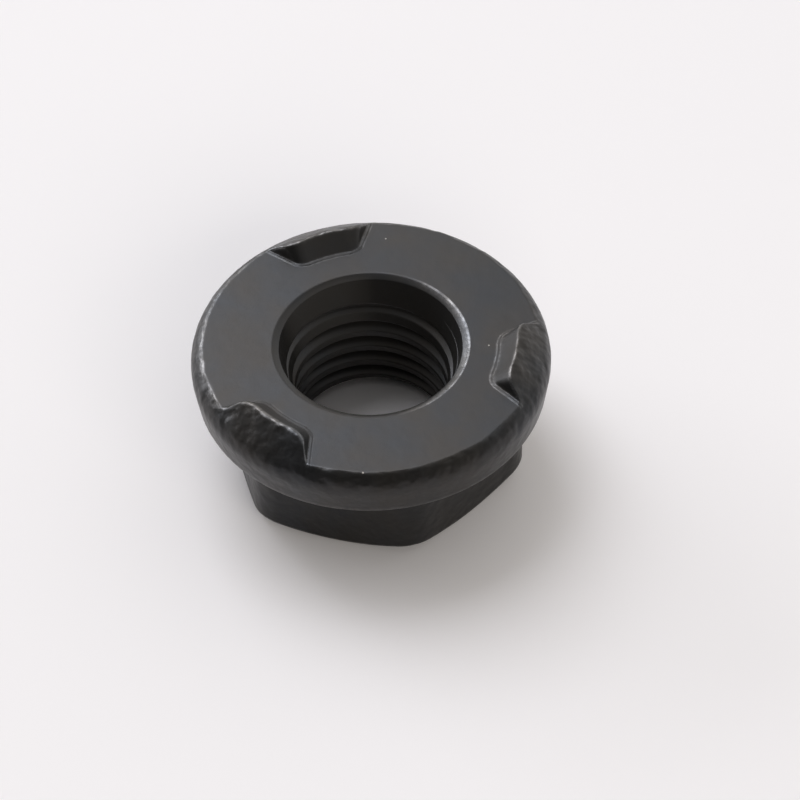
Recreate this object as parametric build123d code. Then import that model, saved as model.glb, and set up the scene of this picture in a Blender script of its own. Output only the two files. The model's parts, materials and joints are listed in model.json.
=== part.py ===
"""Flanged weld nut: one cold forged piece, with a round flange over a hexagon and three weld projections.

The forging blank has a sloping shoulder and a rounded rim. A punch then coins its top flat, apart from
three projections at the rim, whose outer slope is the shoulder. They melt when the nut is welded.
Origin: the centre of the hexagon's end, on the thread's axis. +Z runs out of the flange's weld face.
The hexagon's corners lie on X and every 60 degrees from it. The helical thread isn't cut: the bore has
the thread's minor diameter.
"""

import math
import os

from build123d import *

# Overall
height = 8.43
flange_diameter = 20.6
across_flats = 16.0

# Flange: depths are below the weld face, and the side draws in from its widest circle to the lower edge
shoulder_angle = 38.0
rim_round = 1.36
widest_depth = 1.16
side_depth = 2.8
side_taper = 7.5
flange_edge_round = 0.08
underside_angle = 10.0
underside_fillet = 0.4

# Hexagon: rolled corners, and an end chamfer that starts on a circle, this far inside the flats
corner_radius = 2.1
end_chamfer_inset = 0.5
end_chamfer_angle = 30.0

# Bore for an M10 x 1.25 thread: its minor diameter, and how far the lead-in and the exit widen on each side
minor_diameter = 8.78
lead_in_width = 0.85
lead_in_angle = 32.0
exit_width = 0.72
exit_angle = 90.0

# Shallow ring at the mouth, outside the lead-in
mouth_width = 0.36
mouth_depth = 0.1
mouth_round = 0.3

# Projections, evenly spaced: the first is turned a little from +X. Half angles give where its end walls stand
projection_count = 3
projection_turn = 4.7
projection_height = 1.0
inner_wall_angle = 45.0
end_wall_angle = 66.0
foot_half_angle = 13.5
rim_half_angle = 20.0
projection_corner = 0.42

# Ledge that the punch's edge leaves round each foot
ledge_width = 0.19
ledge_height = 0.05

# Margins: the blank's stock above the crests, how far tools pass beyond the metal, and a length match
stock = 0.2
clear = 2.0
tolerance = 1e-4

NODE = "weld_nut"

flange_radius = flange_diameter / 2
side_z = height - side_depth
blank_rise = projection_height + stock
blank_top = height + blank_rise
minor_radius = minor_diameter / 2
lead_in_radius = minor_radius + lead_in_width
mouth_radius = lead_in_radius + mouth_width
exit_radius = minor_radius + exit_width


def slope(angle):
    """Rise for each millimetre of run."""
    return math.tan(math.radians(angle))


def polar(radius, angle):
    """Point in plan at a radius and an angle in degrees."""
    turn = math.radians(angle)
    return radius * math.cos(turn), radius * math.sin(turn)


def turned(profile):
    """Solid turned about the thread's axis from a closed half section given in X and Z."""
    return revolve(Plane.XZ * profile, Axis.Z)


def rim_arc():
    """The rim's round in the half section, from the side below it up to the shoulder."""
    centre = (flange_radius - rim_round, height - widest_depth)
    return CenterArc(centre, rim_round, -side_taper, side_taper + 90 - shoulder_angle)


def shoulder_radius(z):
    """How far out the shoulder's slope is at a height."""
    top_of_rim = rim_arc() @ 1
    return top_of_rim.X - (z - top_of_rim.Y) / slope(shoulder_angle)


def flange_blank():
    """The flange as forged, with its shoulder sloping up to a flat top above the weld face."""
    rim = rim_arc()
    low, high = rim @ 0, rim @ 1
    edge_radius = low.X - (low.Y - side_z) * slope(side_taper)
    top_radius = shoulder_radius(blank_top)
    hub_z = side_z - (edge_radius - mouth_radius) * slope(underside_angle)
    section = make_face(
        Wire(
            [
                Line((0, hub_z), (mouth_radius, hub_z)),
                Line((mouth_radius, hub_z), (edge_radius, side_z)),
                Line((edge_radius, side_z), low),
                rim,
                Line(high, (top_radius, blank_top)),
                Line((top_radius, blank_top), (0, blank_top)),
                Line((0, blank_top), (0, hub_z)),
            ]
        )
    )
    lower_edge = section.vertices().sort_by_distance((edge_radius, side_z, 0))[0]
    return turned(fillet(lower_edge, flange_edge_round))


def hexagon():
    """The hexagon with rolled corners, chamfered at its end."""
    plan = RegularPolygon(radius=across_flats / 2, side_count=6, major_radius=False)
    plan = fillet(plan.vertices(), corner_radius)
    prism = extrude(plan, side_z)
    chamfer_radius = across_flats / 2 - end_chamfer_inset
    reach = across_flats
    rise = (reach - chamfer_radius) * slope(end_chamfer_angle)
    envelope = turned(
        Polygon((0, 0), (chamfer_radius, 0), (reach, rise), (reach, height), (0, height), align=None)
    )
    return prism & envelope


def pad(grow, top):
    """One punch recess, on +X: inner wall, drafted end walls, foot outline grown by a margin."""
    crest_radius = shoulder_radius(height + projection_height)
    foot_radius = crest_radius - projection_height / slope(inner_wall_angle)
    foot_x, foot_y = polar(foot_radius, foot_half_angle)
    rim_x, rim_y = polar(flange_radius, rim_half_angle)
    splay = (rim_y - foot_y) / (rim_x - foot_x)
    margin = grow * math.hypot(1, splay)
    near = foot_x - foot_y / 2
    far = flange_radius + clear
    half_near = foot_y + (near - foot_x) * splay + margin
    half_far = foot_y + (far - foot_x) * splay + margin
    plan = Polygon((near, -half_near), (far, -half_far), (far, half_far), (near, half_near), align=None)
    block = extrude(Plane.XY.offset(height) * plan, top, taper=90 - end_wall_angle)
    inner = foot_radius - grow
    plug = turned(
        Polygon(
            (0, height - clear),
            (inner - clear / slope(inner_wall_angle), height - clear),
            (inner + (top + clear) / slope(inner_wall_angle), height + top + clear),
            (0, height + top + clear),
            align=None,
        )
    )
    shape = block - plug
    inner_reach = inner + top / slope(inner_wall_angle)
    corners = [
        edge
        for edge in shape.edges()
        if math.hypot(edge.center().X, edge.center().Y) < inner_reach
        and abs(edge.start_point().Z - edge.end_point().Z) > top / 2
    ]
    return fillet(corners, projection_corner + grow)


def coining():
    """What the punch presses down: all above the weld face, apart from the projections and their ledges."""
    pressed = Pos(0, 0, height) * Cylinder(
        flange_radius + clear, blank_rise + clear, align=(Align.CENTER, Align.CENTER, Align.MIN)
    )
    lift = blank_rise + stock
    ledge = extrude(pad(ledge_width, lift).faces().sort_by(Axis.Z)[0], -ledge_height)
    standing = pad(0, lift) + ledge
    for index in range(projection_count):
        turn = projection_turn + index * 360 / projection_count
        pressed -= Rot(0, 0, turn) * standing
    return pressed


def bore():
    """The hole for the thread, with a shallow ring and a steep lead-in above, and a chamfer at its far end."""
    lead_in_depth = lead_in_width / slope(lead_in_angle / 2)
    exit_depth = exit_width / slope(exit_angle / 2)
    return turned(
        Polygon(
            (0, -clear),
            (exit_radius, -clear),
            (exit_radius, 0),
            (minor_radius, exit_depth),
            (minor_radius, height - mouth_depth - lead_in_depth),
            (lead_in_radius, height - mouth_depth),
            (mouth_radius, height),
            (mouth_radius, blank_top + clear),
            (0, blank_top + clear),
            align=None,
        )
    )


def full_circles(solid, radius, z):
    """The full circles of a radius that lie at a height, centred on the axis."""
    return [
        edge
        for edge in solid.edges().filter_by(GeomType.CIRCLE)
        if edge.is_closed and abs(edge.arc_center.Z - z) < tolerance and abs(edge.radius - radius) < tolerance
    ]


def weld_nut():
    """The whole nut."""
    flange = flange_blank()
    prism = hexagon()
    blank = flange + prism
    blank = fillet(new_edges(flange, prism, combined=blank), underside_fillet)
    nut = blank - coining() - bore()
    return fillet(full_circles(nut, mouth_radius, height), mouth_round)


os.makedirs("parts", exist_ok=True)
nut = weld_nut()
export_step(nut, f"parts/{NODE}.step")
print(NODE, "volume", round(nut.volume, 1), "mm3, faces", len(nut.faces()), "valid", nut.is_valid)
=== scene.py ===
# %% [markdown]
# Flanged weld nut
#
# A nut like this is cold forged from a slug of steel wire, coined flat on top, tapped and blackened. It is
# all one piece, so the lesson is about one good surface: a grid that goes round the thread's axis one way
# and along the nut's section the other way, and closes on itself like the skin of a ring. Lengths are in
# millimetres until the mesh is done.

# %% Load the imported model
import json
import math

import bmesh
import bpy
import numpy as np
from mathutils import Matrix, Vector, noise


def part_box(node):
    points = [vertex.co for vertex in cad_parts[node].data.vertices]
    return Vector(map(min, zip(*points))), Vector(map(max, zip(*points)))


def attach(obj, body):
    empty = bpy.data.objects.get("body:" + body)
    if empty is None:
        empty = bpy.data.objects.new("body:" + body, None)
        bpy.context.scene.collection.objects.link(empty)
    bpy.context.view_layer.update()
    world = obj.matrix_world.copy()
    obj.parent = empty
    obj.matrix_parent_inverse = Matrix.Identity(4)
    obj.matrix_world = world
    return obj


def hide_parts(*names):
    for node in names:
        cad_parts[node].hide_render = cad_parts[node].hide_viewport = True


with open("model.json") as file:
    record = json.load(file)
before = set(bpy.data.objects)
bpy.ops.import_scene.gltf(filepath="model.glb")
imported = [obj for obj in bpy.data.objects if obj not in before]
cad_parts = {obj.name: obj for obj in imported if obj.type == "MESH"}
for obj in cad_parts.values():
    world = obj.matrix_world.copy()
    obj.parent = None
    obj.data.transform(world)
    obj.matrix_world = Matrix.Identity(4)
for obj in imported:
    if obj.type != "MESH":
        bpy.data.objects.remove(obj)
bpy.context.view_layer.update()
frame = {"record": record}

MM = 0.001
_, high_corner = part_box("weld_nut")
mounts = {mount["name"]: mount for mount in frame["record"]["mounts"]}
flange_radius = high_corner.x / MM
crest_z = high_corner.z / MM
face_z = mounts["weld_face"]["pos_m"][2] / MM
minor_radius = mounts["thread"]["dims"]["r_mm"]
print("flange radius", flange_radius, "weld face", face_z, "crests", crest_z, "bore", minor_radius)

# %% [markdown]
# The camera comes first, because how fine the surface must be depends on how closely it is seen. The
# picture is taken with a long lens from 48 degrees above the table. Three directions place a camera:
# right, down and forward, turned by a small roll about the line of sight.

# %% Camera
view_azimuth = math.radians(15.7)
view_elevation = math.radians(48.25)
view_roll = math.radians(-1.19)
view_distance = 187.9
view_shift_right = -1.675
view_shift_down = -3.213
lens_mm = 148.43
sensor_mm = 36.0
clip_near = 0.01
clip_far = 10

turn = Matrix.Rotation(view_azimuth, 3, "Z")
level_right = turn @ Vector((1, 0, 0))
level_down = turn @ Vector((0, -math.sin(view_elevation), -math.cos(view_elevation)))
forward = turn @ Vector((0, math.cos(view_elevation), -math.sin(view_elevation)))
right = math.cos(view_roll) * level_right - math.sin(view_roll) * level_down
down = math.sin(view_roll) * level_right + math.cos(view_roll) * level_down
looked_at = Vector((0, 0, face_z)) - view_shift_right * right - view_shift_down * down
eye = looked_at - view_distance * forward

camera_data = bpy.data.cameras.new("camera")
camera_data.lens = lens_mm
camera_data.sensor_width = sensor_mm
camera_data.clip_start = clip_near
camera_data.clip_end = clip_far
camera = bpy.data.objects.new("camera", camera_data)
axes = Matrix((right, -down, -forward)).transposed().to_4x4()
camera.matrix_world = Matrix.Translation(eye * MM) @ axes
bpy.context.scene.collection.objects.link(camera)
bpy.context.scene.camera = camera
print("camera at", [round(value, 1) for value in eye], "mm")

# %% [markdown]
# The flange's half section is what a toolmaker would draw for the forging die: a shoulder at 38 degrees, a
# rounded rim, a side that draws in a little, and a sloping underside. The sizes repeat those of the solid,
# because this script can't read its source. Heights are worked out as functions of the radius, so that any
# row of the grid can ask for its own.

# %% Section of the flange
shoulder_slope = math.tan(math.radians(38))
rim_round = 1.36
widest_depth = 1.16
side_depth = 2.8
side_taper = math.radians(7.5)
lower_edge_round = 0.12
underside_slope = math.tan(math.radians(10))
rim_centre = np.array((flange_radius - rim_round, face_z - widest_depth))
rim_top_angle = math.pi / 2 - math.atan(shoulder_slope)


def on_round(centre, radius, angle):
    """Point of the half section on a round, at an angle above the horizontal."""
    return centre + radius * np.array((math.cos(angle), math.sin(angle)))


rim_top = on_round(rim_centre, rim_round, rim_top_angle)
side_top = on_round(rim_centre, rim_round, -side_taper)
side_z = face_z - side_depth
lower_edge = np.array((side_top[0] - (side_top[1] - side_z) * math.tan(side_taper), side_z))
face_radius = rim_top[0] + (rim_top[1] - face_z) / shoulder_slope


def shoulder_height(radius):
    """Height of the shoulder above the weld face."""
    return rim_top[1] - face_z - (radius - rim_top[0]) * shoulder_slope


def underside_z(radius):
    """Height of the flange's underside above the table."""
    return side_z - (lower_edge[0] - radius) * underside_slope


print("face edge radius", round(face_radius, 3), "flange's lower edge", lower_edge.round(3))

# %% Small rounds of the half section
round_rows = 4


def rounded(before, corner, after, radius):
    """Points that round a corner of the half section, from the side of one neighbour to the other."""
    to_before = (before - corner) / np.linalg.norm(before - corner)
    to_after = (after - corner) / np.linalg.norm(after - corner)
    half = math.acos(np.clip(to_before @ to_after, -1, 1)) / 2
    bisector = (to_before + to_after) / np.linalg.norm(to_before + to_after)
    centre = corner + bisector * radius / math.sin(half)
    start = corner + to_before * radius / math.tan(half) - centre
    end = corner + to_after * radius / math.tan(half) - centre
    points = [start + share * (end - start) for share in np.linspace(0, 1, round_rows)]
    return [centre + radius * point / np.linalg.norm(point) for point in points]


lower_arc = rounded(side_top, lower_edge, lower_edge - (1, underside_slope), lower_edge_round)
print("the lower edge's round ends at", lower_arc[-1].round(3))

# %% [markdown]
# Three weld projections stand on the flange, and a low ledge runs round each foot. Columns of the grid run
# outwards from the axis. Evenly spread ones would cut the projections' end walls at a slant and leave saw
# teeth. So near each wall the columns lie parallel to its foot, closer together than elsewhere, and they
# spread out evenly again towards the hole and the rim's side.

# %% Plan of a projection
pad_count = 3
pad_turn = math.radians(4.7)
sixth = math.pi / pad_count
foot_half_angle = math.radians(13.5)
rim_half_angle = math.radians(20)
inner_wall_slope = math.tan(math.radians(45))
end_wall_slope = math.tan(math.radians(73))
ledge_width = 0.19
ledge_run = 0.05

crest_radius = rim_top[0] - (crest_z - rim_top[1]) / shoulder_slope
foot_radius = crest_radius - (crest_z - face_z) / inner_wall_slope
foot_x, foot_y = foot_radius * math.cos(foot_half_angle), foot_radius * math.sin(foot_half_angle)
rim_x, rim_y = flange_radius * math.cos(rim_half_angle), flange_radius * math.sin(rim_half_angle)
splay = (rim_y - foot_y) / (rim_x - foot_x)
foot_line = foot_y - foot_x * splay
splay_length = math.hypot(1, splay)
print("foot radius", round(foot_radius, 3), "crest radius", round(crest_radius, 3))

# %% Columns round the nut
columns_per_sixth = 100
fine_columns = 2 * pad_count * columns_per_sixth
pad_inner_columns = 26
wall_columns = 15
wall_reach = 0.58
beside_edge = 0.015
beside_foot = 0.03
past_ledge = 0.28
ledge_lines = np.array((ledge_run + beside_edge, ledge_run, 0, -beside_edge)) - ledge_width
outer_lines = np.concatenate([[-beside_foot], ledge_lines, [-past_ledge]])
wall_lines = np.append(np.linspace(wall_reach, 0, wall_columns), outer_lines)
even_inside = 6.0
even_outside = 9.98
follow_margin = 0.4


def wall_angles(radius):
    """Angles at which a circle meets lines parallel to an end wall's foot."""
    offset = foot_line - wall_lines * splay_length
    x = (-offset * splay + np.sqrt((1 + splay**2) * radius**2 - offset**2)) / (1 + splay**2)
    return np.arctan2(offset + splay * x, x)


def column_angles(radius):
    """Angles of all the fine columns on a circle."""
    walls = wall_angles(radius)
    inner = np.linspace(0, walls[0], pad_inner_columns, endpoint=False)
    gap = np.linspace(walls[-1], sixth, columns_per_sixth - pad_inner_columns - len(walls) + 2)[1:]
    even = np.linspace(0, sixth, columns_per_sixth + 1)
    stages = [even_inside, foot_radius - follow_margin, face_radius, even_outside]
    follow = np.interp(radius, stages, [0, 1, 1, 0])
    half = follow * np.concatenate([inner, walls, gap]) + (1 - follow) * even
    pad = np.concatenate([-half[:0:-1], half[:-1]])
    return np.concatenate([pad + pad_turn + index * 2 * sixth for index in range(pad_count)])


coarse_angles = column_angles(minor_radius)[::2]
print(fine_columns, "fine columns and", len(coarse_angles), "coarse ones")

# %% [markdown]
# A punch coins the top flat, and each projection is metal that rose into a recess of the punch. So the top
# is the lower of two heights: the punch's, with its sloping recess walls, and the shoulder's, which is as
# uneven as forging leaves it. Soft minimums roll the edges between slopes, as the real ones are. A low step
# round each foot is where the punch's edge bit, and it is higher at the right projection than at the left.

# %% Recess of the punch
pad_corner = 0.45
corner_growth = 0.35
foot_blend = 0.06
soft_foot_blend = 0.9
soft_end = math.radians(226)
soft_spread = 0.008
soft_run = 0.6
ledge_heights = np.array((0.05, 0.035, 0.015))
ledge_edge_width = 0.04


def soft_min(a, b, width):
    """Lower of two values, rounded off where they are within a width of each other."""
    near = np.clip(width - np.abs(a - b), 0, None)
    return np.minimum(a, b) - near**2 / (4 * width)


def near_line(distance, width):
    """Share that is one on a line and falls off on both its sides."""
    return np.exp(-((distance / width) ** 2))


def recess_wall(from_inner, from_end):
    """Height of the recess's leaning walls, whose corner is a round that grows as it rises."""
    inner_run, end_run = 1 / inner_wall_slope + corner_growth, 1 / end_wall_slope + corner_growth
    short_inner, short_end = pad_corner - from_inner, pad_corner - from_end
    a = inner_run**2 + end_run**2 - corner_growth**2
    b = short_inner * inner_run + short_end * end_run - pad_corner * corner_growth
    c = short_inner**2 + short_end**2 - pad_corner**2
    rise = (np.sqrt(np.maximum(b**2 - a * c, 0)) - b) / a
    on_corner = (short_inner + rise * inner_run > 0) & (short_end + rise * end_run > 0)
    return np.where(on_corner, rise, np.minimum(from_inner * inner_wall_slope, from_end * end_wall_slope))


def pad_number(angle):
    """Which projection is nearest: the right, back or left one in the picture."""
    return ((angle - pad_turn + sixth) // (2 * sixth)).astype(int) % pad_count


def punch_height(radius, angle):
    """Height of the punch above the weld face, and how near an edge of a ledge it is."""
    local = (angle - pad_turn + sixth) % (2 * sixth) - sixth
    along, across = radius * np.cos(local), np.abs(radius * np.sin(local))
    from_inner = radius - foot_radius
    from_end = (foot_line + splay * along - across) / splay_length
    walls = recess_wall(from_inner, from_end)
    softness = np.exp((np.cos(angle - soft_end) - 1) / soft_spread)
    softness = softness * np.clip((radius - crest_radius) / soft_run, 0, 1)
    recess = -soft_min(-walls, 0 * walls, foot_blend + (soft_foot_blend - foot_blend) * softness)
    short = np.clip(pad_corner - from_inner, 0, None), np.clip(pad_corner - from_end, 0, None)
    inside = pad_corner - np.hypot(*short)
    pad = pad_number(angle)
    ledge = ledge_heights[pad] * np.clip((inside + ledge_width) / ledge_run, 0, 1)
    edges = near_line(inside + ledge_width, ledge_edge_width) + near_line(inside, ledge_edge_width)
    return np.maximum(recess, ledge), edges * ledge_heights[pad] / ledge_heights[0]


across_pad = punch_height(np.full(5, crest_radius), pad_turn + np.linspace(0, sixth, 5))[0]
print("punch from a projection's middle to the gap", across_pad.round(2))

# %% [markdown]
# Handling rubs the black off raised edges. The face's edge is bright on one side only, while the crests are
# bright all round, the more so the more they are rolled. A projection's inner wall was dragged along the
# punch, which left it rougher than the face, and its base colour gets a little painted light.

# %% Height of the top
face_edge_blend = 0.08
crest_blends = np.array((0.18, 0.24, 0.38))
crest_start = 0.3
shoulder_bulge = 0.05
lump_height = 0.05
lump_size = 1.3
lump_falloff = 0.7
lump_step = 2.0
lump_octaves = 3
lump_settle = 0.5
lump_reach = 1.0
skin_edge = 0.08
worn_width = 0.03
worn_by_blend = 0.45
worn_ledge = 0.6
off_the_face = 0.1
rubbed_side = math.radians(203)
wall_start = 0.05
wall_share = 0.6
wall_fade = 0.2


def facing(angle, side, start, run, least=0.0):
    """Share that rises to one where an angle turns towards a side."""
    return np.clip((np.cos(angle - side) - start) / run, least, 1)


def lumps(radius, angle, height):
    """Unevenness of the forged skin, from smooth noise in space."""
    places = zip(radius * np.cos(angle), radius * np.sin(angle), face_z + height)
    kind = (lump_falloff, lump_step, lump_octaves)
    return np.array([noise.fractal(Vector(place) / lump_size, *kind) for place in places])


def top_surface(radius, angle):
    """Height of the top above the weld face, and how far it is forged skin, a worn edge or an inner wall."""
    punch, ledge_edges = punch_height(radius, angle)
    shoulder = shoulder_height(radius)
    settle = np.clip((flange_radius - radius) / lump_settle, 0, 1)
    up_slope = np.clip(shoulder / (crest_z - face_z), 0, 1)
    shoulder = shoulder + shoulder_bulge * np.sin(math.pi * up_slope)
    near_edge = np.abs(punch - shoulder) < lump_reach
    shoulder = shoulder + lump_height * settle * np.where(near_edge, lumps(radius, angle, shoulder), 0)
    crest_blend = crest_blends[pad_number(angle)]
    blend = face_edge_blend + (crest_blend - face_edge_blend) * np.clip(punch / crest_start, 0, 1)
    height = soft_min(punch, shoulder, blend)
    forged = np.clip(0.5 + (punch - shoulder) / skin_edge, 0, 1)
    rubbed = np.where(punch > off_the_face, 1, facing(angle, rubbed_side, 0.2, 0.4, least=0.15))
    worn = near_line(punch - shoulder, worn_width + worn_by_blend * blend) * rubbed
    off_inner_wall = np.abs(punch - (radius - foot_radius) * inner_wall_slope)
    inner_wall = np.clip(punch / wall_start, 0, wall_share) * (1 - forged)
    inner_wall = inner_wall * np.clip(1 - off_inner_wall / wall_fade, 0, 1)
    return height, forged, np.maximum(worn, worn_ledge * ledge_edges), inner_wall


middle_height = top_surface(np.array([crest_radius]), np.array([pad_turn]))[0]
print("height of a projection's crest", middle_height.round(3), "against", round(crest_z - face_z, 3))

# %% [markdown]
# Rows of the grid run round the nut. Each keeps its columns' angles, radii and heights, and its share of
# each finish: forged skin, an edge rubbed bright, a tapped surface, one that the punch left rough, and one
# that is duller than the rest. Where the section turns, rows come closer together, so that smooth shading
# doesn't smear the corner.

# %% A row and its finish
# The tapped and punched shares also set painted light in the base colour.
finishes = ("forged", "worn", "tapped", "punched", "dull")
rows = []


def row(radius, z, angle, **shares):
    """One closed row of grid points, with its share of each finish."""
    numbers = {"angle": angle, "radius": radius, "z": z, **dict.fromkeys(finishes, 0.0), **shares}
    return {name: np.zeros(len(angle)) + number for name, number in numbers.items()}


print("each row holds", list(row(minor_radius, 0.0, coarse_angles)))

# %% Rows of the mouth
mouth_radius = 5.6
mouth_round = 0.3
lead_in_top = np.array((5.24, face_z - 0.19))
lead_in_round = 0.08
lead_in_slope = math.tan(math.radians(16))
polished_side = math.radians(10)
mouth_wear = 0.9
rough_side = math.radians(142)


def rough_share(angle):
    """How rough the punch left the lead-in, which is most of all on one side, and how much painted light its
    base colour gets there.
    """
    return facing(angle, rough_side, 0.75, 0.2, least=0.1)


mouth_edge = np.array((mouth_radius, face_z))
lead_in_arc = rounded(lead_in_top - (lead_in_slope, 1), lead_in_top, mouth_edge, lead_in_round)
mouth_arc = rounded(lead_in_top, mouth_edge, mouth_edge + (1, 0), mouth_round)
for point in lead_in_arc:
    angle = column_angles(point[0])
    rows.append(row(*point, angle, punched=rough_share(angle)))
for point in mouth_arc:
    angle = column_angles(point[0])
    rows.append(row(*point, angle, worn=mouth_wear * facing(angle, polished_side, 0.35, 0.45)))
print(len(rows), "rows at the mouth")

# %% Rows of the top
foot_band = 0.3
crest_band = 0.12
edge_band = 0.16
after_mouth = 0.04
after_foot = 0.08
foot_rows = np.concatenate([[-foot_band], ledge_lines[::-1], [-0.06, -0.015, 0.03]])
top_radii = np.concatenate(
    [
        np.linspace(mouth_arc[-1][0] + after_mouth, foot_radius - foot_band, 6, endpoint=False),
        foot_radius + foot_rows,
        np.linspace(foot_radius + after_foot, crest_radius - crest_band, 8, endpoint=False),
        np.linspace(crest_radius - crest_band, crest_radius + crest_band, 6, endpoint=False),
        np.linspace(crest_radius + crest_band, face_radius - edge_band, 10, endpoint=False),
        np.linspace(face_radius - edge_band, rim_top[0], 8),
    ]
)
for radius in top_radii:
    angle = column_angles(radius)
    height, forged, worn, inner_wall = top_surface(np.full(fine_columns, radius), angle)
    rows.append(row(radius, face_z + height, angle, forged=forged, worn=worn, punched=inner_wall))
print(len(rows), "rows with the top")

# %% Rows of the rim and the side
rim_rows = 15
side_rows = 7
side_forged = 0.5
rim_dull = 0.4
lower_edge_wear = 0.3
for rim_angle in np.linspace(rim_top_angle, -side_taper, rim_rows)[1:]:
    point = on_round(rim_centre, rim_round, rim_angle)
    rim_forged = np.interp(rim_angle, [0.1, 0.5], [0.6, 1])
    rows.append(row(*point, column_angles(point[0]), forged=rim_forged, dull=rim_dull))
for share in np.linspace(0, 1, side_rows)[1:-1]:
    point = side_top + share * (lower_arc[0] - side_top)
    rows.append(row(*point, column_angles(point[0]), forged=side_forged))
for point in lower_arc:
    rows.append(row(*point, column_angles(point[0]), forged=side_forged, worn=lower_edge_wear))
print(len(rows), "rows from the hole's edge to the flange's lower edge")

# %% [markdown]
# Below the flange the nut is a hexagon with rolled corners. A round in the corner between them keeps the
# flange from cracking off, and it follows the hexagon's outline. Circles on the flange turn into the
# outline by going part of the way with each row, so no cap or loose patch is needed.

# %% Outline of the hexagon
across_flats = 16.0
corner_round = 2.1


def hexagon_radius(angle, outside=0.0):
    """Radius of the hexagon's outline, or of a line parallel to it at a distance outside."""
    flat, corner = across_flats / 2 + outside, corner_round + outside
    from_flat = np.abs(angle % (math.pi / 3) - math.pi / 6)
    from_corner = math.pi / 6 - from_flat
    flat_end = math.atan((flat - corner) * math.tan(math.pi / 6) / flat)
    middle = (flat - corner) / math.cos(math.pi / 6)
    across = np.minimum(middle * np.sin(from_corner), corner)
    on_corner = middle * np.cos(from_corner) + np.sqrt(corner**2 - across**2)
    return np.where(from_flat < flat_end, flat / np.cos(from_flat), on_corner)


outline = hexagon_radius(coarse_angles)
print("hexagon's radius from", outline.min().round(2), "to", outline.max().round(2))

# %% Rows of the hexagon
root_round = 0.4
root_rows = 7
chamfer_radius = across_flats / 2 - 0.5
chamfer_slope = math.tan(math.radians(30))
chamfer_wear = 0.3
exit_radius = 5.11
end_edge = 0.05
end_middle_radius = 6.3

first_hexagon_row = len(rows)
angle = coarse_angles
root_slope_angle = math.atan(underside_slope)
root_z = underside_z(hexagon_radius(angle, root_round)) - root_round / math.cos(root_slope_angle)
root_angles = np.linspace(math.pi / 2 + root_slope_angle, math.pi, root_rows)
root_start = hexagon_radius(angle, root_round * (1 + math.cos(root_angles[0])))
for share in (0.04, 0.5, 0.95):
    radius = (1 - share) * lower_arc[-1][0] + share * root_start
    rows.append(row(radius, underside_z(radius), angle, forged=0.6))
for root_angle in root_angles:
    radius = hexagon_radius(angle, root_round * (1 + math.cos(root_angle)))
    rows.append(row(radius, root_z + root_round * math.sin(root_angle), angle, forged=0.5))
chamfer_z = (outline - chamfer_radius) * chamfer_slope
for share in (0.05, 0.5, 0.97, 1.0):
    worn = chamfer_wear if share == 1 else 0.0
    rows.append(row(outline, root_z + share * (chamfer_z - root_z), angle, forged=0.4, worn=worn))
for share in (0.06, 0.5, 0.94, 1.0):
    radius = outline + share * (chamfer_radius - outline)
    rows.append(row(radius, (radius - chamfer_radius) * chamfer_slope, angle, forged=0.2))
for radius in (chamfer_radius - end_edge, end_middle_radius, exit_radius + end_edge, exit_radius):
    rows.append(row(radius, 0.0, angle))
for one in rows[first_hexagon_row:]:
    one["dull"][:] = 1.0
print(len(rows), "rows with the hexagon")

# %% [markdown]
# The thread is cut last, by a tap. Its groove climbs one pitch in each turn, so the bore's rows climb too:
# the last column of a row meets the first column of a row one pitch higher. Rows lie exactly on the lines
# where the groove's flanks meet the bore or its lead-in, found by halving an interval, and those that pass
# the ends of the bore are stopped just short of them and merged.

# %% Thread and plain bore
pitch = 1.25
major_radius = 5.0
thread_start = 0.863
flank_slope = math.tan(math.radians(60))
root_flat = pitch / 8
exit_blend = 0.3
least_groove = 0.02 * pitch
halvings = 25


def plain_bore(z):
    """Radius of the bore with its lead-in and exit chamfer, before tapping."""
    lead_in = lead_in_top[0] - (lead_in_top[1] - z) * lead_in_slope
    gap = np.clip(exit_blend - np.abs(exit_radius - z - minor_radius), 0, None) / exit_blend
    lower_part = np.maximum(minor_radius, exit_radius - z) + gap**3 * exit_blend / 6
    return np.maximum(lead_in, lower_part)


def groove_radius_at(from_centre):
    """Radius of the groove at a height above or below its centre."""
    return major_radius - np.maximum(from_centre - root_flat / 2, 0) * flank_slope


def groove_edge(centre, side):
    """How far above (1) or below (-1) a groove's centre its flank meets the plain bore."""
    low, high = np.zeros_like(centre), np.full_like(centre, pitch / 2)
    for _ in range(halvings):
        middle = (low + high) / 2
        cut = groove_radius_at(middle) > plain_bore(centre + side * middle)
        low, high = np.where(cut, middle, low), np.where(cut, high, middle)
    return np.maximum(low, least_groove)


print("plain bore", plain_bore(np.array((0.0, pitch, face_z / 2, face_z - pitch))).round(2))

# %% Rows of the bore
edge_strip = 0.04
crest_shares = (0, 0.12, 0.5, 0.88)
crest_knots = [(0, 0)] + [(start, share) for start in (1, 2, 3) for share in crest_shares] + [(4, 0)]

bore_top = lead_in_arc[0][1] - edge_strip
first_centre = thread_start - pitch * math.ceil(thread_start / pitch + 1)
turns = math.ceil((bore_top - first_centre) / pitch) + 1
climb = pitch * (coarse_angles - coarse_angles[0]) / (2 * math.pi)
bore_z = []
for index in range(turns):
    centre = first_centre + pitch * index + climb
    above = groove_edge(centre, 1)
    below = groove_edge(centre + pitch, -1)
    flat_above, flat_below = np.minimum(root_flat / 2, above / 2), np.minimum(root_flat / 2, below / 2)
    knots = [0 * centre, flat_above, above, pitch - below, pitch - flat_below, pitch + 0 * centre]
    for start, share in crest_knots:
        bore_z.append(centre + knots[start] + share * (knots[start + 1] - knots[start]))
rows_per_turn = len(crest_knots)
bore_z = np.clip(bore_z, edge_strip, bore_top)
print(len(bore_z), "bore rows,", rows_per_turn, "a turn")

# %% Finish of the bore
cut_margin = 0.005


def untapped(z):
    """Where the groove is no deeper than the bore was before."""
    phase = (z - first_centre - climb) / pitch
    from_centre = np.abs(phase - np.round(phase)) * pitch
    return groove_radius_at(from_centre) < plain_bore(z) + cut_margin


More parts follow.
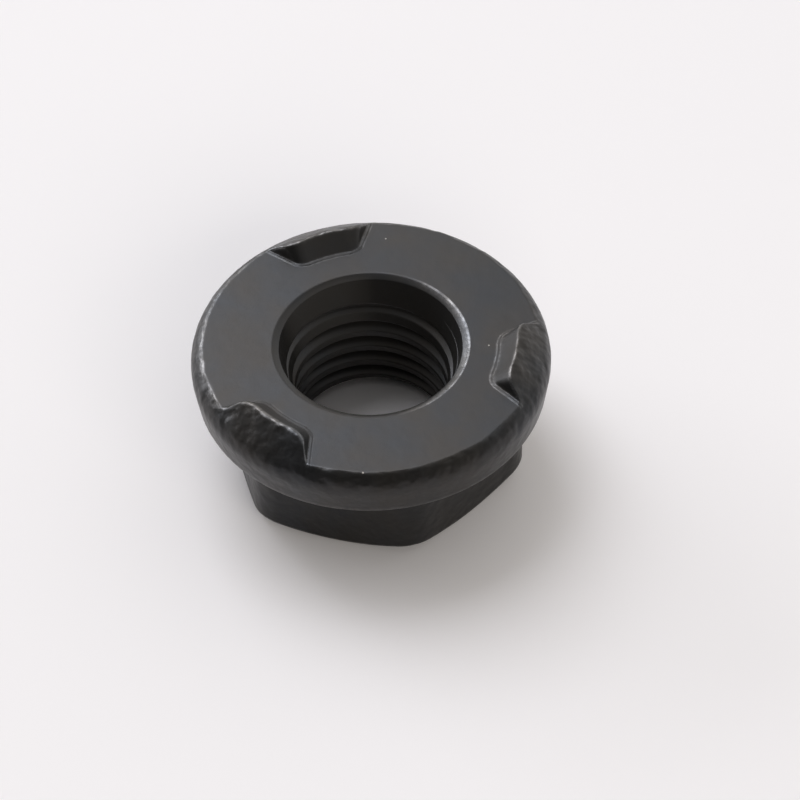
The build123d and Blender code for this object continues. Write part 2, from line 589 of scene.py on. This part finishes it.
rough = rough_share(coarse_angles)
bore_rows = [row(minor_radius, z, coarse_angles, tapped=1.0, punched=untapped(z) * rough) for z in bore_z]
print("share of the bore left untapped", np.mean([untapped(z) for z in bore_z]).round(2))

# %% [markdown]
# Now the rows become one mesh. Quads join rows with as many columns. Where a row has half as many, three
# triangles take the place of two quads. The bore's last row joins the first row at the hole's edge, and
# that closes the surface.

# %% Join the rows
all_rows = rows + bore_rows
starts = np.cumsum([0] + [len(one["angle"]) for one in all_rows])
column = {name: np.concatenate([one[name] for one in all_rows]) for name in all_rows[0]}
around = [column["radius"] * np.cos(column["angle"]), column["radius"] * np.sin(column["angle"])]
points = np.column_stack(around + [column["z"]])


def indices(number):
    """Point numbers of a row, with the first one again at its end."""
    own = np.arange(starts[number], starts[number + 1])
    return np.append(own, own[0])


def join(a, b):
    """Faces between two rows, outward when the second row follows the first along the section."""
    if len(a) == len(b):
        return list(zip(a[:-1], b[:-1], b[1:], a[1:]))
    faces = []
    if len(a) > len(b):
        for j in range(len(b) - 1):
            faces += [(a[2 * j], b[j], a[2 * j + 1]), (b[j], b[j + 1], a[2 * j + 1])]
            faces.append((b[j + 1], a[2 * j + 2], a[2 * j + 1]))
        return faces
    for j in range(len(a) - 1):
        faces += [(a[j], b[2 * j], b[2 * j + 1]), (a[j], b[2 * j + 1], a[j + 1])]
        faces.append((a[j + 1], b[2 * j + 1], b[2 * j + 2]))
    return faces


faces = []
for number in range(len(rows)):
    faces += join(indices(number), indices(number + 1))
last = len(all_rows) - 1
for number in range(len(rows), last):
    low, high = indices(number), indices(number + 1)
    faces += join(low[:-1], high[:-1])
    if number + 1 + rows_per_turn <= last:
        climbed = starts[number + rows_per_turn], starts[number + 1 + rows_per_turn]
        faces.append((low[-2], high[-2], climbed[1], climbed[0]))
faces += join(indices(last), indices(0))
print(len(points), "points and", len(faces), "faces before merging")

# %% Close the surface
same_place = 1e-4
no_length = 1e-5

skin = bpy.data.meshes.new("weld nut")
skin.from_pydata(points.tolist(), [], [tuple(int(point) for point in face) for face in faces])
for finish in finishes:
    skin.attributes.new(finish, "FLOAT", "POINT").data.foreach_set("value", column[finish].tolist())
merged = bmesh.new()
merged.from_mesh(skin)
bmesh.ops.remove_doubles(merged, verts=merged.verts, dist=same_place)
bmesh.ops.dissolve_degenerate(merged, edges=merged.edges, dist=no_length)
open_edges = sum(len(edge.link_faces) != 2 for edge in merged.edges)
merged.to_mesh(skin)
merged.free()
print(len(skin.vertices), "points,", len(skin.polygons), "faces,", open_edges, "open edges")

# %% [markdown]
# The tap's rule is a Geometry Nodes tree. For each point of the bore it works out how far along the helix
# the point lies, the groove's radius there, and the plain bore's radius, and moves the point to the larger
# of the two. A tree with named sizes can be set to any other thread.


# %% Node helpers
def add(tree, kind, inputs=None, **settings):
    """A node with its settings, whose inputs are linked to sockets or set to values."""
    made = tree.nodes.new(kind)
    for name, value in settings.items():
        setattr(made, name, value)
    for name, value in (inputs or {}).items():
        if isinstance(value, bpy.types.NodeSocket):
            tree.links.new(value, made.inputs[name])
        else:
            made.inputs[name].default_value = value
    return made


def calc(tree, operation, a, b=0.0, c=0.0):
    """Result of a Math node."""
    return add(tree, "ShaderNodeMath", {0: a, 1: b, 2: c}, operation=operation).outputs[0]


def new_tree(name, sizes):
    """A Geometry Nodes tree with named sizes and a material, and its input node."""
    tree = bpy.data.node_groups.new(name, "GeometryNodeTree")
    tree.interface.new_socket("Geometry", in_out="INPUT", socket_type="NodeSocketGeometry")
    for size, value in sizes.items():
        socket = tree.interface.new_socket(size, in_out="INPUT", socket_type="NodeSocketFloat")
        socket.default_value = value
    tree.interface.new_socket("Material", in_out="INPUT", socket_type="NodeSocketMaterial")
    tree.interface.new_socket("Geometry", in_out="OUTPUT", socket_type="NodeSocketGeometry")
    return tree, tree.nodes.new("NodeGroupInput")


def read_share(tree, finish):
    """A finish's share at each point, inside a Geometry Nodes tree."""
    return add(tree, "GeometryNodeInputNamedAttribute", {"Name": finish}, data_type="FLOAT").outputs[0]


def end_tree(tree, geometry, source):
    """Realize Instances and Set Material, then the tree's output."""
    real = add(tree, "GeometryNodeRealizeInstances", {0: geometry})
    material = source.outputs["Material"]
    painted = add(tree, "GeometryNodeSetMaterial", {"Geometry": real.outputs[0], "Material": material})
    output = tree.nodes.new("NodeGroupOutput")
    tree.links.new(painted.outputs[0], output.inputs[0])


print("Blender", bpy.app.version_string)

# %% Tree of the tapped thread: how far a point is from the groove's root
thread_sizes = {
    "Pitch": pitch,
    "First Groove": first_centre,
    "Start Angle": float(coarse_angles[0]),
    "Major Radius": major_radius,
    "Minor Radius": minor_radius,
    "Flank Slope": flank_slope,
    "Root Flat": root_flat,
    "Lead-in Radius": float(lead_in_top[0]),
    "Lead-in Height": float(lead_in_top[1]),
    "Lead-in Slope": lead_in_slope,
    "Exit Radius": exit_radius,
    "Exit Blend": exit_blend,
}
tapping, given = new_tree("tapped thread", thread_sizes)
size = given.outputs
position = add(tapping, "GeometryNodeInputPosition").outputs[0]
place = add(tapping, "ShaderNodeSeparateXYZ", {0: position}).outputs
point_angle = calc(tapping, "ARCTAN2", place["Y"], place["X"])
turn_share = calc(tapping, "DIVIDE", calc(tapping, "SUBTRACT", point_angle, size["Start Angle"]), 2 * math.pi)
above_first = calc(tapping, "SUBTRACT", place["Z"], size["First Groove"])
phase = calc(tapping, "SUBTRACT", calc(tapping, "DIVIDE", above_first, size["Pitch"]), turn_share)
pitches_away = calc(tapping, "ABSOLUTE", calc(tapping, "SUBTRACT", phase, calc(tapping, "ROUND", phase)))
half_flat = calc(tapping, "MULTIPLY", size["Root Flat"], 0.5)
from_root = calc(tapping, "SUBTRACT", calc(tapping, "MULTIPLY", pitches_away, size["Pitch"]), half_flat)
print("thread tree has", len(tapping.nodes), "nodes so far")

# %% Tree of the tapped thread: the larger radius, and moving the points to it
flank = calc(tapping, "MULTIPLY", calc(tapping, "MAXIMUM", from_root, 0.0), size["Flank Slope"])
groove_radius = calc(tapping, "SUBTRACT", size["Major Radius"], flank)
depth = calc(tapping, "SUBTRACT", size["Lead-in Height"], place["Z"])
narrowing = calc(tapping, "MULTIPLY", depth, size["Lead-in Slope"])
lead_radius = calc(tapping, "SUBTRACT", size["Lead-in Radius"], narrowing)
exit_chamfer = calc(tapping, "SUBTRACT", size["Exit Radius"], place["Z"])
exit_part = calc(tapping, "SMOOTH_MAX", size["Minor Radius"], exit_chamfer, size["Exit Blend"])
plain_radius = calc(tapping, "MAXIMUM", lead_radius, exit_part)
tapped_radius = calc(tapping, "MAXIMUM", plain_radius, groove_radius)
y_squared = calc(tapping, "POWER", place["Y"], 2.0)
now_radius = calc(tapping, "SQRT", calc(tapping, "MULTIPLY_ADD", place["X"], place["X"], y_squared))
spread = calc(tapping, "DIVIDE", tapped_radius, now_radius)
new_x, new_y = (calc(tapping, "MULTIPLY", place[axis], spread) for axis in "XY")
moved = add(tapping, "ShaderNodeCombineXYZ", {0: new_x, 1: new_y, 2: place["Z"]})
in_bore = calc(tapping, "GREATER_THAN", read_share(tapping, "tapped"), 0.5)
cut_inputs = {"Geometry": size["Geometry"], "Selection": in_bore, "Position": moved.outputs[0]}
cut = add(tapping, "GeometryNodeSetPosition", cut_inputs)
end_tree(tapping, cut.outputs[0], given)
print("thread tree has", len(tapping.nodes), "nodes")

# %% [markdown]
# Forging leaves a skin with dents and low ridges where the die drags the steel, and only coining makes it
# flat. A second tree pushes points in and out along their normals by a smooth noise, as far as their
# "forged" value lets it, so the coined face and the thread stay clean.

# %% Tree of the forged skin
skin_sizes = {"Depth": 0.04, "Coarseness": 1.3, "Seed": 3.0}
wave_shape = {"Detail": 3.0, "Roughness": 0.55}
forging, given = new_tree("forged skin", skin_sizes)
size = given.outputs
position = add(forging, "GeometryNodeInputPosition").outputs[0]
wave_inputs = {"Vector": position, "W": size["Seed"], "Scale": size["Coarseness"], **wave_shape}
waves = add(forging, "ShaderNodeTexNoise", wave_inputs, noise_dimensions="4D").outputs[0]
in_and_out = calc(forging, "SUBTRACT", waves, 0.5)
push = calc(forging, "MULTIPLY", in_and_out, calc(forging, "MULTIPLY", size["Depth"], 2.0))
push = calc(forging, "MULTIPLY", push, read_share(forging, "forged"))
normal = add(forging, "GeometryNodeInputNormal").outputs[0]
offset = add(forging, "ShaderNodeVectorMath", {0: normal, "Scale": push}, operation="SCALE").outputs["Vector"]
dented = add(forging, "GeometryNodeSetPosition", {"Geometry": size["Geometry"], "Offset": offset})
end_tree(forging, dented.outputs[0], given)
print("forged skin tree has", len(forging.nodes), "nodes")

# %% [markdown]
# The finish is black oxide, which is thin and glassy rather than metallic, so it is a nearly black base
# under a gloss that its roughness spreads. Its colour drifts between blue and brown in soft clouds. Where
# the punch or the tap scraped it, its base is painted a little lighter as painted light, and three small
# nicks show bare steel. All patterns read Object coordinates, so they stay put.

# %% Colour of the oxide
blue_black = (0.0085, 0.0085, 0.0088)
brown_black = (0.0100, 0.0092, 0.0082)
cool_gloss = (0.90, 0.93, 1.0)
warm_gloss = (1.0, 0.94, 0.90)
bare_grey = (1.0, 0.95, 0.9, 1)
# Painted light: a lighter base on the punched lead-in's one side and on the projections' inner walls.
punched_painted_light = 0.018
# Painted light: a lighter base that lifts the black of the tapped bore.
tapped_painted_light = 0.007
nicks = [(-1.33, 8.30, face_z, 0.05), (6.56, 1.51, face_z, 0.05), (2.12, -9.43, face_z, 0.06)]
nick_brightness = 0.35


def pattern(tree, place, scale, detail, roughness):
    """Noise in the nut's own space."""
    inputs = {"Vector": place, "Scale": scale, "Detail": detail, "Roughness": roughness}
    return add(tree, "ShaderNodeTexNoise", inputs).outputs[0]


def two_tints(tree, value, first, second, positions):
    """Colour that goes from one tint to another between two positions of a value."""
    ramp = add(tree, "ShaderNodeValToRGB", {"Fac": value})
    for stop, tint, position in zip(ramp.color_ramp.elements, (first, second), positions):
        stop.position = position
        stop.color = (*tint, 1)
    return ramp.outputs[0]


def oxide_colour(tree, place, cloudy, shares):
    """Nearly black base, with painted light on the punched and tapped surfaces, and bare nicks."""
    # Painted light from the tapped and punched shares lightens the base; the nicks below are bare steel.
    painted_light_and_nicks = calc(tree, "MULTIPLY", shares["tapped"], tapped_painted_light)
    painted_light_and_nicks = calc(tree, "MULTIPLY_ADD", shares["punched"], punched_painted_light, painted_light_and_nicks)
    for x, y, z, radius in nicks:
        middle = (x * MM, y * MM, z * MM)
        apart = add(tree, "ShaderNodeVectorMath", {0: place, 1: middle}, operation="DISTANCE")
        bare = calc(tree, "LESS_THAN", apart.outputs["Value"], radius * MM)
        painted_light_and_nicks = calc(tree, "MAXIMUM", painted_light_and_nicks, calc(tree, "MULTIPLY", bare, nick_brightness))
    tint = two_tints(tree, cloudy, blue_black, brown_black, (0.35, 0.7))
    return add(tree, "ShaderNodeMix", {"Factor": painted_light_and_nicks, 6: tint, 7: bare_grey}, data_type="RGBA").outputs[2]


print(len(nicks), "nicks")

# %% [markdown]
# The coined face is smoother than the forged skin, and the punched lead-in is the roughest. A rubbed edge
# mirrors more, because steel shows through in small patches. Two bumps finish it: a fine grain all over,
# and the shallow dents of the forged skin.

# %% Gloss and grain of the oxide
coined_roughness = 0.28
cloud_roughness = 0.12
more_roughness = {"forged": 0.04, "tapped": -0.04, "punched": 0.32}
burnished_roughness = -0.14
oxide_index = 1.5
dull_index = -0.11
burnished_index = 1.3
patch_range = {"From Min": 0.42, "From Max": 0.66, "To Min": 0.25}
grain_strength = 0.25
grain_depth = 0.00001
coined_dents = 0.05
forged_dents = 0.95
dent_depth = 0.00016


def oxide_gloss(tree, cloudy, speckle, shares):
    """Roughness and mirror index, from the share of each finish."""
    patchy = add(tree, "ShaderNodeMapRange", {"Value": speckle, **patch_range}).outputs[0]
    burnished = calc(tree, "MULTIPLY", shares["worn"], patchy)
    roughness = calc(tree, "MULTIPLY_ADD", cloudy, cloud_roughness, coined_roughness)
    for finish, more in more_roughness.items():
        roughness = calc(tree, "MULTIPLY_ADD", shares[finish], more, roughness)
    roughness = calc(tree, "MULTIPLY_ADD", burnished, burnished_roughness, roughness)
    index = calc(tree, "MULTIPLY_ADD", shares["dull"], dull_index, oxide_index)
    return roughness, calc(tree, "MULTIPLY_ADD", burnished, burnished_index, index)


def oxide_grain(tree, grain, dents, shares):
    """Normal with fine grain, and dents that are deep only in forged skin."""
    fine_inputs = {"Strength": grain_strength, "Distance": grain_depth, "Height": grain}
    fine = add(tree, "ShaderNodeBump", fine_inputs).outputs[0]
    strength = calc(tree, "MULTIPLY_ADD", shares["forged"], forged_dents, coined_dents)
    dent_inputs = {"Strength": strength, "Distance": dent_depth, "Height": dents, "Normal": fine}
    return add(tree, "ShaderNodeBump", dent_inputs).outputs[0]


def black_oxide():
    """Material of the whole nut."""
    material = bpy.data.materials.new("black oxide")
    material.use_nodes = True
    tree = material.node_tree
    tree.nodes.clear()
    place = add(tree, "ShaderNodeTexCoord").outputs["Object"]
    shares = {name: add(tree, "ShaderNodeAttribute", attribute_name=name).outputs["Fac"] for name in finishes}
    cloudy = pattern(tree, place, 260.0, 5.0, 0.6)
    speckle = pattern(tree, place, 1700.0, 4.0, 0.7)
    grain = pattern(tree, place, 5200.0, 4.0, 0.65)
    dents = pattern(tree, place, 1300.0, 1.5, 0.45)
    roughness, index = oxide_gloss(tree, cloudy, speckle, shares)
    look = {
        "Base Color": oxide_colour(tree, place, cloudy, shares),
        "Roughness": roughness,
        "IOR": index,
        "Specular Tint": two_tints(tree, cloudy, cool_gloss, warm_gloss, (0.35, 0.62)),
        "Normal": oxide_grain(tree, grain, dents, shares),
    }
    surface = add(tree, "ShaderNodeBsdfPrincipled", look)
    output = add(tree, "ShaderNodeOutputMaterial")
    tree.links.new(surface.outputs[0], output.inputs[0])
    return material


oxide = black_oxide()
print("material", oxide.name, "with", len(oxide.node_tree.nodes), "nodes")

# %% [markdown]
# Both trees run as modifiers. Their result is copied to a plain mesh, because the export wants one, and is
# then scaled from millimetres to metres in its points, so the object itself stays unscaled at the origin.


# %% Make the nut
def tree_modifier(piece, tree, material):
    """Adds a tree to a piece and hands it the material."""
    modifier = piece.modifiers.new(tree.name, "NODES")
    modifier.node_group = tree
    for socket in tree.interface.items_tree:
        if socket.in_out == "INPUT" and socket.name == "Material":
            modifier[socket.identifier] = material


nut = bpy.data.objects.new("flanged_weld_nut", skin)
bpy.context.scene.collection.objects.link(nut)
tree_modifier(nut, tapping, oxide)
tree_modifier(nut, forging, oxide)
made = bpy.data.meshes.new_from_object(nut.evaluated_get(bpy.context.evaluated_depsgraph_get()))
nut.modifiers.clear()
nut.data = made
made.transform(Matrix.Scale(MM, 4))
made.shade_smooth()
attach(nut, "root")
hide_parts("weld_nut")
triangles = sum(len(face.vertices) - 2 for face in made.polygons)
print("nut has", len(made.vertices), "points and", triangles, "triangles")

# %% [markdown]
# The nut stands on a sheet of white paper. The paper only has to catch its shadow, so it is one large
# square.

# %% Paper
paper_reach = 1.5
paper_colour = (0.905, 0.885, 0.90, 1)
paper_roughness = 0.9
paper_gloss = 0.1


def paper():
    """A white floor, rough enough to show no reflection."""
    sheet = bpy.data.meshes.new("paper")
    corners = [(x * paper_reach, y * paper_reach, 0) for x, y in ((-1, -1), (1, -1), (1, 1), (-1, 1))]
    sheet.from_pydata(corners, [], [(0, 1, 2, 3)])
    material = bpy.data.materials.new("paper")
    material.use_nodes = True
    shader = material.node_tree.nodes["Principled BSDF"]
    shader.inputs["Base Color"].default_value = paper_colour
    shader.inputs["Roughness"].default_value = paper_roughness
    shader.inputs["Specular IOR Level"].default_value = paper_gloss
    sheet.materials.append(material)
    floor = bpy.data.objects.new("paper", sheet)
    bpy.context.scene.collection.objects.link(floor)
    return floor


floor = paper()
print("paper", floor.dimensions[:2])

# %% [markdown]
# A black gloss shows only what it mirrors, so the lights are placed by what each slope should mirror. The
# key softbox, high at the back left, stands in the coined face and throws the soft shadow to the right. A
# low window beside it rims the flange's side and the hexagon's left. The room is dark overhead and on the
# camera's side, and a fill that no gloss can mirror lifts the paper and its shadow.

# %% Lights
cool = (0.93, 0.95, 1.0)
warm = (1.0, 0.95, 0.87)
light_distance = 0.9


def softbox(name, azimuth, elevation, width, height, radiance, tint):
    """A rectangular area light that faces the nut, its azimuth measured from the camera's right."""
    data = bpy.data.lights.new(name, "AREA")
    data.shape = "RECTANGLE"
    data.size, data.size_y = width, height
    data.energy = radiance * math.pi * width * height
    data.color = tint
    lamp = bpy.data.objects.new(name, data)
    around = math.radians(azimuth) + view_azimuth
    rise = math.radians(elevation)
    level = math.cos(rise)
    direction = Vector((level * math.cos(around), level * math.sin(around), math.sin(rise)))
    facing_nut = direction.to_track_quat("Z", "Y").to_matrix().to_4x4()
    lamp.matrix_world = Matrix.Translation(direction * light_distance) @ facing_nut
    bpy.context.scene.collection.objects.link(lamp)
    return lamp


softbox("key softbox", 120, 54, 0.55, 0.67, 3.4, cool)
softbox("window", 142, 16, 0.62, 0.3, 4.3, cool)
fill = softbox("fill for the paper", 292, 30, 0.8, 0.4, 3.1, warm)
fill.visible_glossy = False

# %% Walls of the room
wall_to_the_right = 0.25
dark_overhead = -0.35
wall_range = {"From Min": -0.9, "From Max": 1.0, "To Min": 0.08, "To Max": 1.1}
wall_colour = (1.0, 0.98, 0.95, 1)


def studio():
    """Low light walls behind the nut and to its right, and a room that is dark overhead and in front."""
    world = bpy.data.worlds.new("studio")
    world.use_nodes = True
    tree = world.node_tree
    direction = add(tree, "ShaderNodeTexCoord").outputs["Generated"]
    turned = add(tree, "ShaderNodeMapping", {"Vector": direction, "Rotation": (0, 0, -view_azimuth)})
    parts = add(tree, "ShaderNodeSeparateXYZ", {0: turned.outputs[0]}).outputs
    towards_wall = calc(tree, "MULTIPLY_ADD", parts["X"], wall_to_the_right, parts["Y"])
    towards_wall = calc(tree, "MULTIPLY_ADD", parts["Z"], dark_overhead, towards_wall)
    walls = add(tree, "ShaderNodeMapRange", {"Value": towards_wall, **wall_range})
    background = tree.nodes["Background"]
    background.inputs["Color"].default_value = wall_colour
    tree.links.new(walls.outputs[0], background.inputs["Strength"])
    return world


bpy.context.scene.world = studio()
bpy.context.scene.view_settings.view_transform = "Standard"
print("world", bpy.context.scene.world.name)
